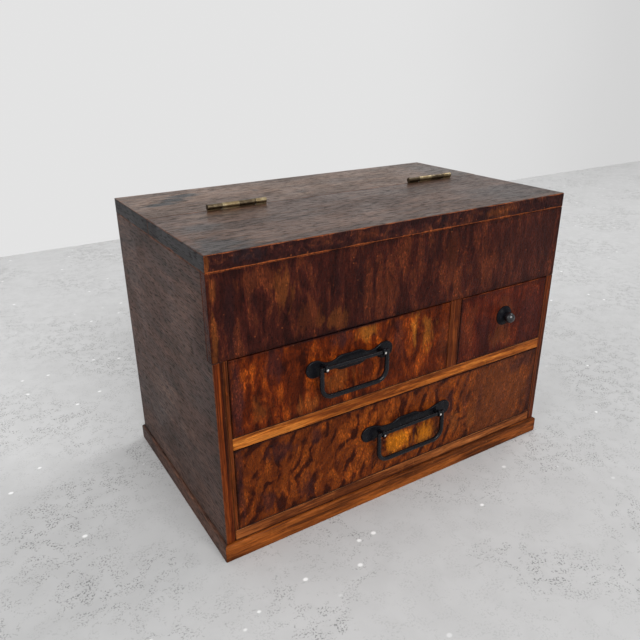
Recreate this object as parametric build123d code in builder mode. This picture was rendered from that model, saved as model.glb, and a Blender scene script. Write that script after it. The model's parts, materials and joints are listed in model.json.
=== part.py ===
"""Small tabletop chest with three drawers under a lidded compartment.

Millimetres, +Z up, the drawers face -Y. The origin is on the floor, under the middle of the
whole chest with its pulls. Each board, fitting and group of like fasteners is its own solid.
"""

import os

from build123d import *

# ---------------------------------------------------------------- driving dimensions: the case
case_width = 330.0
case_depth = 195.0
case_height = 238.0
side_thickness = 7.8
guide_strip_thickness = 2.7
back_thickness = 6.0
bottom_thickness = 9.5
shelf_thickness = 9.8
divider_thickness = 11.2
floor_thickness = 7.5
panel_thickness = 8.0
lower_opening_height = 69.7
upper_opening_height = 60.7
left_opening_width = 197.5
housing_depth = 3.0
housing_stop = 9.0
back_rebate = 5.0
edge_round = 0.9

# ---------------------------------------------------------------- the plinth
plinth_height = 14.5
plinth_overhang = 2.2
plinth_strip_width = 24.0
plinth_round = 2.0

# ---------------------------------------------------------------- the lid
lid_thickness = 12.0
lid_depth = 107.5
lid_seat_gap = 0.3
lid_seam_gap = 0.5

# ---------------------------------------------------------------- the lid's butt hinges
left_hinge_start = 47.4
right_hinge_start = 246.4
knuckle_lengths = (12.5, 14.5, 14.5, 9.5)
knuckle_gap = 0.2
barrel_radius = 2.2
barrel_rise = 2.7
hinge_pin_radius = 1.1
hinge_pin_clearance = 0.08
leaf_thickness = 1.0
leaf_drop = 12.0
leaf_gap = 0.3
leaf_fit = 0.15
hinge_screw_count = 3
hinge_screw_radius = 0.9
hinge_screw_head_radius = 1.8
hinge_screw_length = 9.0
hinge_screw_drop = 7.6
screw_fit = 0.05

# ---------------------------------------------------------------- the drawers
drawer_side_gap = 0.5
drawer_top_gap = 0.7
drawer_floor_gap = 0.3
drawer_rear_gap = 3.0
drawer_front_thickness = 10.0
drawer_front_lip = 5.0
drawer_side_thickness = 6.0
drawer_back_thickness = 5.0
drawer_back_setback = 4.0
drawer_back_housing = 2.0
drawer_bottom_thickness = 4.0
drawer_bottom_rebate = 3.0
drawer_rim_drop = 1.0
drawer_edge_round = 0.7

# ---------------------------------------------------------------- the two drop pulls
plate_thickness = 1.6
plate_edge_bevel = 0.45
plate_neck = 2.8
plate_crown = 6.1
plate_crown_dip = 0.3
plate_bump_half_width = 6.4
plate_neck_offset = 18.5
lobe_radius = 6.8
bail_radius = 1.9
bail_bar_radius = 1.5
bail_corner_radius = 9.0
bail_end_chamfer = 0.7
bail_standoff = 7.0
bail_pin_clearance = 0.15
eye_wall = 1.2
eye_width = 2.6
eye_leg_height = 2.4
eye_hole_radius = 1.8
clench_length = 5.0
clench_thickness = 1.1

left_pull_offset = -0.4
left_pull_rise = 35.8
left_bar_rise = 1.7
left_plate_length = 78.0
left_bail_width = 58.6
left_bail_drop = 23.6
left_eye_spacing = 51.8

lower_pull_offset = 0.5
lower_pull_rise = 42.4
lower_bar_rise = 0.4
lower_plate_length = 93.2
lower_bail_width = 66.8
lower_bail_drop = 25.0
lower_eye_spacing = 59.0

# ---------------------------------------------------------------- the right drawer's knob
knob_offset = 0.6
knob_rise = 34.2
rosette_radius = 8.8
rosette_rim = 0.8
rosette_shoulder = 0.7
rosette_height = 3.0
rosette_top_radius = 4.2
knob_ball_radius = 4.7
knob_neck_radius = 3.4
knob_reach = 11.2
knob_stem_radius = 1.5
knob_stem_clearance = 0.1
knob_burr_radius = 3.0
knob_burr_thickness = 1.0

# ---------------------------------------------------------------- places worked out from them
eye_bore_radius = bail_bar_radius + bail_pin_clearance
eye_radius = eye_bore_radius + eye_wall
pull_reach = bail_standoff + eye_radius
front_reach = max(pull_reach, knob_reach)
front = -case_depth / 2 + (front_reach - plinth_overhang) / 2
back = front + case_depth
left = -case_width / 2
right = case_width / 2
inner_left = left + side_thickness
inner_right = right - side_thickness
back_inner = back - back_thickness

case_top = case_height - lid_thickness
bottom_z = plinth_height
lower_floor_z = bottom_z + bottom_thickness
shelf_z = lower_floor_z + lower_opening_height
upper_floor_z = shelf_z + shelf_thickness
panel_z = upper_floor_z + upper_opening_height
drawers_left = inner_left + guide_strip_thickness
divider_left = drawers_left + left_opening_width
divider_right = divider_left + divider_thickness

hinge_y = front + lid_depth
hinge_z = case_height + barrel_rise
hinge_length = sum(knuckle_lengths)
leaf_recess = leaf_thickness + leaf_gap / 2 - lid_seam_gap / 2
leaf_bottom_z = hinge_z - leaf_drop
hinge_starts = (left + left_hinge_start, left + right_hinge_start)

left_pull_x = (drawers_left + divider_left) / 2 + left_pull_offset
left_pull_z = upper_floor_z + left_pull_rise
left_bar_z = left_pull_z + left_bar_rise
lower_pull_x = (drawers_left + inner_right) / 2 + lower_pull_offset
lower_pull_z = lower_floor_z + lower_pull_rise
lower_bar_z = lower_pull_z + lower_bar_rise
knob_x = (divider_right + inner_right) / 2 + knob_offset
knob_z = upper_floor_z + knob_rise


def save(piece, node_name):
    """Label a finished piece and write it to its own file."""
    piece.part.label = node_name
    export_step(piece.part, f"parts/{node_name}.step")


def block(x_span, y_span, z_span, mode=Mode.ADD):
    """Add or cut a rectangular block between three pairs of limits."""
    with Locations((x_span[0], y_span[0], z_span[0])):
        Box(
            x_span[1] - x_span[0],
            y_span[1] - y_span[0],
            z_span[1] - z_span[0],
            align=(Align.MIN, Align.MIN, Align.MIN),
            mode=mode,
        )


# ---------------------------------------------------------------- plinth: four mitred strips


def plinth_strip(run_length):
    """One strip, run along X with its outer face on y = 0, mitred at both ends."""
    with BuildPart() as strip:
        with BuildSketch(Plane.YZ.offset(-run_length / 2)) as section:
            with Locations((plinth_strip_width / 2, plinth_height / 2)):
                Rectangle(plinth_strip_width, plinth_height)
            outer_top = section.vertices().group_by(Axis.X)[0].sort_by(Axis.Y)[-1]
            fillet(outer_top, plinth_round)
        extrude(amount=run_length)
        for end in (-1, 1):
            with BuildSketch(Plane.XY):
                with BuildLine():
                    Polyline(
                        (end * run_length / 2, 0),
                        (end * (run_length / 2 - plinth_strip_width), plinth_strip_width),
                        (end * run_length / 2, plinth_strip_width),
                        close=True,
                    )
                make_face()
            extrude(amount=plinth_height, mode=Mode.SUBTRACT)
    return strip.part


plinth_width = case_width + 2 * plinth_overhang
plinth_depth = case_depth + 2 * plinth_overhang
case_middle_y = (front + back) / 2
long_strip = plinth_strip(plinth_width)
short_strip = plinth_strip(plinth_depth)
plinth_places = {
    "plinth_front": (long_strip, (0, front - plinth_overhang, 0), 0),
    "plinth_back": (long_strip, (0, back + plinth_overhang, 0), 180),
    "plinth_left": (short_strip, (left - plinth_overhang, case_middle_y, 0), -90),
    "plinth_right": (short_strip, (right + plinth_overhang, case_middle_y, 0), 90),
}
os.makedirs("parts", exist_ok=True)
for strip_name, (strip_shape, strip_place, strip_turn) in plinth_places.items():
    with BuildPart() as plinth_piece:
        with Locations(Location(strip_place, (0, 0, strip_turn))):
            add(strip_shape)
    save(plinth_piece, strip_name)

# ---------------------------------------------------------------- case boards

with BuildPart() as side_left:
    with BuildSketch(Plane.YZ.offset(left)):
        with BuildLine():
            Polyline(
                (front, bottom_z),
                (front, panel_z),
                (front + panel_thickness, panel_z),
                (front + panel_thickness, case_top),
                (back, case_top),
                (back, bottom_z),
                close=True,
            )
        make_face()
    extrude(amount=side_thickness)
    outer_edges = side_left.edges().filter_by(Axis.Z).group_by(Axis.X)[0]
    fillet(outer_edges.filter_by_position(Axis.Y, front - 1, front + 1), edge_round)
    fillet(side_left.edges().filter_by(Axis.Z).group_by(Axis.X)[0].sort_by(Axis.Y)[-1], edge_round)
    housing_x = (inner_left - housing_depth, inner_left)
    housing_y = (front + housing_stop, back_inner)
    block(housing_x, housing_y, (bottom_z, lower_floor_z), Mode.SUBTRACT)
    block(housing_x, housing_y, (shelf_z, upper_floor_z), Mode.SUBTRACT)
    block(
        housing_x,
        (front + panel_thickness, back_inner),
        (panel_z, panel_z + floor_thickness),
        Mode.SUBTRACT,
    )
    block((inner_left - back_rebate, inner_left), (back_inner, back), (bottom_z, case_top), Mode.SUBTRACT)
save(side_left, "side_left")

with BuildPart() as side_right:
    mirror(side_left.part, about=Plane.YZ)
save(side_right, "side_right")

with BuildPart() as bottom_board:
    block((inner_left, inner_right), (front, back_inner), (bottom_z, lower_floor_z))
    block(
        (inner_left - housing_depth, inner_right + housing_depth),
        housing_y,
        (bottom_z, lower_floor_z),
    )
save(bottom_board, "bottom_board")

divider_x = (divider_left, divider_right)
with BuildPart() as drawer_shelf:
    block((drawers_left, inner_right), (front, back_inner), (shelf_z, upper_floor_z))
    block(
        (inner_left - housing_depth, inner_right + housing_depth),
        housing_y,
        (shelf_z, upper_floor_z),
    )
    block(divider_x, housing_y, (upper_floor_z - housing_depth, upper_floor_z), Mode.SUBTRACT)
save(drawer_shelf, "drawer_shelf")

strip_x = (inner_left, drawers_left)
with BuildPart() as left_guide_strip:
    block(strip_x, (front, back_inner), (lower_floor_z, panel_z))
    block(strip_x, housing_y, (shelf_z, upper_floor_z), Mode.SUBTRACT)
save(left_guide_strip, "left_guide_strip")

floor_y = (front + panel_thickness, back_inner)
divider_tongue_y = (front + max(housing_stop, panel_thickness), back_inner)
with BuildPart() as compartment_floor:
    block(
        (inner_left - housing_depth, inner_right + housing_depth),
        floor_y,
        (panel_z, panel_z + floor_thickness),
    )
    block(divider_x, divider_tongue_y, (panel_z, panel_z + housing_depth), Mode.SUBTRACT)
save(compartment_floor, "compartment_floor")

with BuildPart() as drawer_divider:
    block(divider_x, (front, back_inner), (upper_floor_z, panel_z))
    block(divider_x, housing_y, (upper_floor_z - housing_depth, upper_floor_z))
    block(divider_x, divider_tongue_y, (panel_z, panel_z + housing_depth))
save(drawer_divider, "drawer_divider")

with BuildPart() as front_panel:
    block((left, right), (front, front + panel_thickness), (panel_z, case_top))
    fillet(front_panel.edges().filter_by(Axis.Z).group_by(Axis.Y)[0], edge_round)
save(front_panel, "front_panel")

with BuildPart() as back_panel:
    block(
        (inner_left - back_rebate, inner_right + back_rebate),
        (back_inner, back),
        (bottom_z, case_top),
    )
save(back_panel, "back_panel")

# ---------------------------------------------------------------- lid and the fixed board behind it


def cut_leaf_recess(y_face, direction):
    """Sink both hinge leaves and drill their screw holes into a board's edge at y_face."""
    for start in hinge_starts:
        recess_x = (start - leaf_fit, start + hinge_length + leaf_fit)
        recess_y = tuple(sorted((y_face, y_face + direction * leaf_recess)))
        block(recess_x, recess_y, (leaf_bottom_z - leaf_fit, case_height), Mode.SUBTRACT)
        for place in screw_places(start):
            with Locations(Plane((place, y_face, hinge_z - hinge_screw_drop), z_dir=(0, -direction, 0))):
                Hole(hinge_screw_radius + screw_fit, depth=leaf_recess + hinge_screw_length)


def screw_places(start):
    """The X places of the screws along a hinge that starts at start."""
    pitch = hinge_length / hinge_screw_count
    return [start + pitch * (number + 0.5) for number in range(hinge_screw_count)]


with BuildPart() as lid_board:
    block(
        (left, right),
        (front, hinge_y - lid_seam_gap / 2),
        (case_top + lid_seat_gap, case_height),
    )
    fillet(lid_board.edges().filter_by(Axis.Z).group_by(Axis.Y)[0], edge_round)
    front_rim = lid_board.edges().group_by(Axis.Y)[0]
    end_rims = lid_board.edges().filter_by(Axis.Y)
    top_rim = (front_rim + end_rims).filter_by_position(Axis.Z, case_height - 0.1, case_height + 0.1)
    fillet(top_rim, edge_round)
    cut_leaf_recess(hinge_y - lid_seam_gap / 2, -1)
save(lid_board, "lid_board")

with BuildPart() as rear_top_board:
    block((left, right), (hinge_y + lid_seam_gap / 2, back), (case_top, case_height))
    fillet(rear_top_board.edges().filter_by(Axis.Z).group_by(Axis.Y)[-1], edge_round)
    cut_leaf_recess(hinge_y + lid_seam_gap / 2, 1)
save(rear_top_board, "rear_top_board")

# ---------------------------------------------------------------- hinges


def knuckle_spans(start, first):
    """The X spans of every second knuckle, from the one numbered first."""
    spans = []
    edge = start
    for number, length in enumerate(knuckle_lengths):
        if number % 2 == first:
            spans.append((edge + knuckle_gap / 2, edge + length - knuckle_gap / 2))
        edge += length
    return spans


def hinge_leaf(start, first, direction):
    """A leaf that hangs from its knuckles on the side of the seam that direction points to."""
    inner_y = hinge_y + direction * leaf_gap / 2
    outer_y = inner_y + direction * leaf_thickness
    leaf_y = tuple(sorted((inner_y, outer_y)))
    with BuildPart() as leaf:
        block((start, start + hinge_length), leaf_y, (leaf_bottom_z, case_height))
        for x_span in knuckle_spans(start, first):
            block(x_span, leaf_y, (case_height - leaf_thickness, hinge_z))
            with BuildSketch(Plane((x_span[0], hinge_y, hinge_z), z_dir=(1, 0, 0))):
                Circle(barrel_radius)
            extrude(amount=x_span[1] - x_span[0])
        with BuildSketch(Plane((start, hinge_y, hinge_z), z_dir=(1, 0, 0))):
            Circle(hinge_pin_radius + hinge_pin_clearance)
        extrude(amount=hinge_length, mode=Mode.SUBTRACT)
        for place in screw_places(start):
            screw_plane = Plane(
                (place, inner_y, hinge_z - hinge_screw_drop),
                x_dir=(1, 0, 0),
                z_dir=(0, -direction, 0),
            )
            with Locations(screw_plane):
                CounterSinkHole(
                    hinge_screw_radius + screw_fit,
                    hinge_screw_head_radius + screw_fit,
                    depth=2 * leaf_thickness,
                    counter_sink_angle=90,
                )
    return leaf


def hinge_screws(direction):
    """All the screws on one side of the seam, heads flush with their leaves."""
    inner_y = hinge_y + direction * leaf_gap / 2
    head_height = hinge_screw_head_radius - hinge_screw_radius
    with BuildPart() as screws:
        for start in hinge_starts:
            for place in screw_places(start):
                profile_plane = Plane(
                    (place, inner_y, hinge_z - hinge_screw_drop),
                    x_dir=(0, direction, 0),
                    z_dir=(direction, 0, 0),
                )
                with BuildSketch(profile_plane):
                    with BuildLine():
                        Polyline(
                            (0, 0),
                            (0, hinge_screw_head_radius),
                            (head_height, hinge_screw_radius),
                            (hinge_screw_length, hinge_screw_radius),
                            (hinge_screw_length, 0),
                            close=True,
                        )
                    make_face()
                revolve(axis=Axis(profile_plane.origin, (0, direction, 0)))
    return screws


for side_name, hinge_start in zip(("left", "right"), hinge_starts):
    case_leaf = hinge_leaf(hinge_start, 0, 1)
    save(case_leaf, f"{side_name}_hinge_case_leaf")
    lid_leaf = hinge_leaf(hinge_start, 1, -1)
    save(lid_leaf, f"{side_name}_hinge_lid_leaf")
    with BuildPart() as hinge_pin:
        with BuildSketch(Plane((hinge_start, hinge_y, hinge_z), z_dir=(1, 0, 0))):
            Circle(hinge_pin_radius)
        extrude(amount=hinge_length)
    save(hinge_pin, f"{side_name}_hinge_pin")

case_hinge_screws = hinge_screws(1)
save(case_hinge_screws, "case_hinge_screws")
lid_hinge_screws = hinge_screws(-1)
save(lid_hinge_screws, "lid_hinge_screws")

# ---------------------------------------------------------------- drawers: five boards each


def make_drawer(drawer_name, x_span, z_span, fitting_holes):
    """Build a drawer for an opening. fitting_holes lists (x, z, radius) through its front."""
    x_left = x_span[0] + drawer_side_gap
    x_right = x_span[1] - drawer_side_gap
    z_low = z_span[0] + drawer_floor_gap
    z_high = z_span[1] - drawer_top_gap
    rim_z = z_high - drawer_rim_drop
    bottom_top_z = z_low + drawer_bottom_thickness
    side_front_y = front + drawer_front_lip
    front_back_y = front + drawer_front_thickness
    drawer_end_y = back_inner - drawer_rear_gap
    back_y = (
        drawer_end_y - drawer_back_setback - drawer_back_thickness,
        drawer_end_y - drawer_back_setback,
    )
    side_inner_left = x_left + drawer_side_thickness
    side_inner_right = x_right - drawer_side_thickness
    bottom_front_y = front_back_y - drawer_bottom_rebate
    bottom_x = (side_inner_left - drawer_bottom_rebate, side_inner_right + drawer_bottom_rebate)

    with BuildPart() as drawer_front:
        with BuildSketch(Plane.XY.offset(z_low)):
            with BuildLine():
                Polyline(
                    (x_left, front),
                    (x_right, front),
                    (x_right, side_front_y),
                    (side_inner_right, side_front_y),
                    (side_inner_right, front_back_y),
                    (side_inner_left, front_back_y),
                    (side_inner_left, side_front_y),
                    (x_left, side_front_y),
                    close=True,
                )
            make_face()
        extrude(amount=z_high - z_low)
        fillet(drawer_front.faces().sort_by(Axis.Y)[0].edges(), drawer_edge_round)
        block(
            (side_inner_left, side_inner_right),
            (bottom_front_y, front_back_y),
            (z_low, bottom_top_z),
            Mode.SUBTRACT,
        )
        for hole_x, hole_z, hole_radius in fitting_holes:
            with BuildSketch(Plane((hole_x, front, hole_z), z_dir=(0, 1, 0))):
                Circle(hole_radius)
            extrude(amount=drawer_front_thickness, mode=Mode.SUBTRACT)
    save(drawer_front, f"{drawer_name}_front")

    for side_name, outer_x, inward in (("left", x_left, 1), ("right", x_right, -1)):
        inner_x = outer_x + inward * drawer_side_thickness
        with BuildPart() as drawer_side:
            block(
                tuple(sorted((outer_x, inner_x))),
                (side_front_y, drawer_end_y),
                (z_low, rim_z),
            )
            block(
                tuple(sorted((inner_x, inner_x - inward * drawer_bottom_rebate))),
                (bottom_front_y, drawer_end_y),
                (z_low, bottom_top_z),
                Mode.SUBTRACT,
            )
            block(
                tuple(sorted((inner_x, inner_x - inward * drawer_back_housing))),
                back_y,
                (bottom_top_z, rim_z),
                Mode.SUBTRACT,
            )
        save(drawer_side, f"{drawer_name}_{side_name}_side")

    with BuildPart() as drawer_back:
        block(
            (side_inner_left - drawer_back_housing, side_inner_right + drawer_back_housing),
            back_y,
            (bottom_top_z, rim_z),
        )
    save(drawer_back, f"{drawer_name}_back")

    with BuildPart() as drawer_bottom:
        block((side_inner_left, side_inner_right), (bottom_front_y, drawer_end_y), (z_low, bottom_top_z))
        block(bottom_x, (front_back_y, drawer_end_y), (z_low, bottom_top_z))
    save(drawer_bottom, f"{drawer_name}_bottom")


# ---------------------------------------------------------------- drop pulls


def plate_outline(plate_length):
    """Half of the backplate's upper outline, from its crown to the tip of its round lobe."""
    lobe_centre = plate_length / 2 - lobe_radius
    crown_low = (0, plate_crown - plate_crown_dip)
    bump = (plate_bump_half_width, plate_crown)
    neck = (plate_neck_offset, plate_neck)
    shoulder_x = (plate_bump_half_width + plate_neck_offset) / 2
    hollow_x = (plate_neck_offset + lobe_centre) / 2
    Bezier(crown_low, (plate_bump_half_width / 2, crown_low[1]), bump)
    Bezier(bump, (shoulder_x, plate_crown), (shoulder_x, plate_neck), neck)
    Bezier(neck, (hollow_x, plate_neck), (hollow_x, lobe_radius), (lobe_centre, lobe_radius))
    RadiusArc((lobe_centre, lobe_radius), (plate_length / 2, 0), lobe_radius)


def make_pull(pull_name, centre_x, centre_z, plate_length, bar_z, bail_width, bail_drop, eye_spacing):
    """Build a backplate, its two clenched eyes and the closed bail that hangs in them."""
    face = Plane((centre_x, front, centre_z), x_dir=(1, 0, 0), z_dir=(0, -1, 0))
    bar_face = Plane((centre_x, front, bar_z), x_dir=(1, 0, 0), z_dir=(0, -1, 0))
    eye_offsets = (-eye_spacing / 2, eye_spacing / 2)

    with BuildPart() as plate:
        with BuildSketch(face):
            with BuildLine():
                plate_outline(plate_length)
                Line((0, plate_crown - plate_crown_dip), (0, 0))
                Line((0, 0), (plate_length / 2, 0))
            make_face()
            mirror(about=Plane.XZ)
            mirror(about=Plane.YZ)
        extrude(amount=plate_thickness)
        chamfer(plate.faces().sort_by(Axis.Y)[0].edges(), plate_edge_bevel)
        with Locations(bar_face):
            with Locations(*[(offset_x, 0) for offset_x in eye_offsets]):
                Hole(eye_hole_radius, depth=2 * plate_thickness)
    save(plate, f"{pull_name}_plate")

    with BuildPart() as eyes:
        for offset_x in eye_offsets:
            side_view = Plane(
                (centre_x + offset_x, front, bar_z),
                x_dir=(0, -1, 0),
                z_dir=(-1, 0, 0),
            )
            clench_x = -drawer_front_thickness - clench_thickness / 2
            with BuildSketch(side_view):
                with Locations((bail_standoff, 0)):
                    Circle(eye_radius)
                with Locations(((bail_standoff + clench_x) / 2, 0)):
                    Rectangle(bail_standoff - clench_x, eye_leg_height)
                with Locations((clench_x, 0)):
                    Rectangle(clench_thickness, 2 * clench_length)
                with Locations((bail_standoff, 0)):
                    Circle(eye_bore_radius, mode=Mode.SUBTRACT)
            extrude(amount=eye_width / 2, both=True)
    save(eyes, f"{pull_name}_eyes")

    arm_x = bail_width / 2
    bail_plane = bar_face.offset(bail_standoff)
    with BuildPart() as bail:
        with BuildLine(bail_plane) as bail_path:
            FilletPolyline(
                (-arm_x, bail_radius),
                (-arm_x, -bail_drop),
                (arm_x, -bail_drop),
                (arm_x, bail_radius),
                radius=bail_corner_radius,
            )
        with BuildSketch(Plane(bail_path.line @ 0, z_dir=bail_path.line % 0)):
            Circle(bail_radius)
        sweep(path=bail_path.line)
        chamfer(bail.faces().group_by(Axis.Z)[-1].edges(), bail_end_chamfer)
        bar_start = bail_plane.from_local_coords((-arm_x, 0, 0))
        with BuildSketch(Plane(bar_start, z_dir=(1, 0, 0))):
            Circle(bail_bar_radius)
        extrude(amount=bail_width)
    save(bail, f"{pull_name}_bail")


# ---------------------------------------------------------------- the three drawers, with fittings

make_drawer(
    "lower_drawer",
    (drawers_left, inner_right),
    (lower_floor_z, shelf_z),
    [(lower_pull_x + side * lower_eye_spacing / 2, lower_bar_z, eye_hole_radius) for side in (-1, 1)],
)
make_pull(
    "lower_pull",
    lower_pull_x,
    lower_pull_z,
    lower_plate_length,
    lower_bar_z,
    lower_bail_width,
    lower_bail_drop,
    lower_eye_spacing,
)
make_drawer(
    "left_drawer",
    (drawers_left, divider_left),
    (upper_floor_z, panel_z),
    [(left_pull_x + side * left_eye_spacing / 2, left_bar_z, eye_hole_radius) for side in (-1, 1)],
)
make_pull(
    "left_pull",
    left_pull_x,
    left_pull_z,
    left_plate_length,
    left_bar_z,
    left_bail_width,
    left_bail_drop,
    left_eye_spacing,
)
knob_hole_radius = knob_stem_radius + knob_stem_clearance
make_drawer(
    "right_drawer",
    (divider_right, inner_right),
    (upper_floor_z, panel_z),
    [(knob_x, knob_z, knob_hole_radius)],
)

# ---------------------------------------------------------------- knob: turned button on a coned rosette

knob_profile = Plane((knob_x, front, knob_z), x_dir=(0, -1, 0), z_dir=(-1, 0, 0))
knob_axis = Axis(knob_profile.origin, (0, -1, 0))

with BuildPart() as knob_rosette:
    with BuildSketch(knob_profile):
        with BuildLine():
            Polyline(
                (0, knob_hole_radius),
                (0, rosette_radius),
                (rosette_rim, rosette_radius),
                (rosette_rim + rosette_shoulder, rosette_radius - rosette_shoulder),
                (rosette_height, rosette_top_radius),
                (rosette_height, knob_hole_radius),
                close=True,
            )
        make_face()
    revolve(axis=knob_axis)
save(knob_rosette, "knob_rosette")

ball_centre = knob_reach - knob_ball_radius
neck_meets_ball = ball_centre - (knob_ball_radius**2 - knob_neck_radius**2) ** 0.5
burr_start = -drawer_front_thickness - knob_burr_thickness
with BuildPart() as knob:
    with BuildSketch(knob_profile):
        with BuildLine():
            Polyline(
                (knob_reach, 0),
                (burr_start, 0),
                (burr_start, knob_burr_radius),
                (-drawer_front_thickness, knob_burr_radius),
                (-drawer_front_thickness, knob_stem_radius),
                (rosette_height, knob_stem_radius),
                (rosette_height, knob_neck_radius),
                (neck_meets_ball, knob_neck_radius),
            )
            ThreePointArc(
                (neck_meets_ball, knob_neck_radius),
                (ball_centre, knob_ball_radius),
                (knob_reach, 0),
            )
        make_face()
    revolve(axis=knob_axis)
save(knob, "knob")
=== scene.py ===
"""Dresses the tabletop drawer chest: worn lacquered boards, iron drop pulls, brass butt hinges.

Every length is in millimetres until a mesh or a shader takes it, where MM turns it into metres.
Lengths in the studio are in metres.
"""

import sys
import json
import logging
import math
from dataclasses import dataclass, field, replace
from enum import Enum

import bmesh
import bpy
from mathutils import Matrix, Vector


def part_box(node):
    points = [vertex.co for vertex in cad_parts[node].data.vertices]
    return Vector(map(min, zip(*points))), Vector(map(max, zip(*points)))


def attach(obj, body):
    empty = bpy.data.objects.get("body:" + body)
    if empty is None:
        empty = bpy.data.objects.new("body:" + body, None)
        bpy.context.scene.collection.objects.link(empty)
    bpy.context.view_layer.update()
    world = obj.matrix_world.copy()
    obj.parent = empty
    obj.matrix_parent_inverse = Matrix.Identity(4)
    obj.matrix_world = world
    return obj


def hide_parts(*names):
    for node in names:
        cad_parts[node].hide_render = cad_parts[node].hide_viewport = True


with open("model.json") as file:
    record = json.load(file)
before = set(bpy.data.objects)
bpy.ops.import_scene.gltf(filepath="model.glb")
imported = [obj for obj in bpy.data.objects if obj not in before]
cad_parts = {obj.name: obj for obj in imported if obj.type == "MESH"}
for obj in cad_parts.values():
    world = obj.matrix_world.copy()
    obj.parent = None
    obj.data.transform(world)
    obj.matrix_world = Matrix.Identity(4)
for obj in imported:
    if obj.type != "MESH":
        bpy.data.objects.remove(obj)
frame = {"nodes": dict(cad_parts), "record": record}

LOG = logging.getLogger("drawer_chest")
MM = 0.001
WELD = 0.002 * MM
BODIES = frame["record"]["behaviour"]["bodies"]
CASE_HALF_WIDTH = 165.0
FRONT_Y = -93.0
Colour = tuple[float, float, float]
Triple = tuple[float, float, float]
Profile = tuple[tuple[float, float], ...]
Socket = bpy.types.NodeSocket
Outputs = bpy.types.NodeOutputs
Feed = Socket | float | tuple
Material = bpy.types.Material
Piece = bpy.types.Object
Shape = bmesh.types.BMesh
Ring = list[bmesh.types.BMVert]


# ---------------------------------------------------------------- drawing shader nodes


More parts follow.
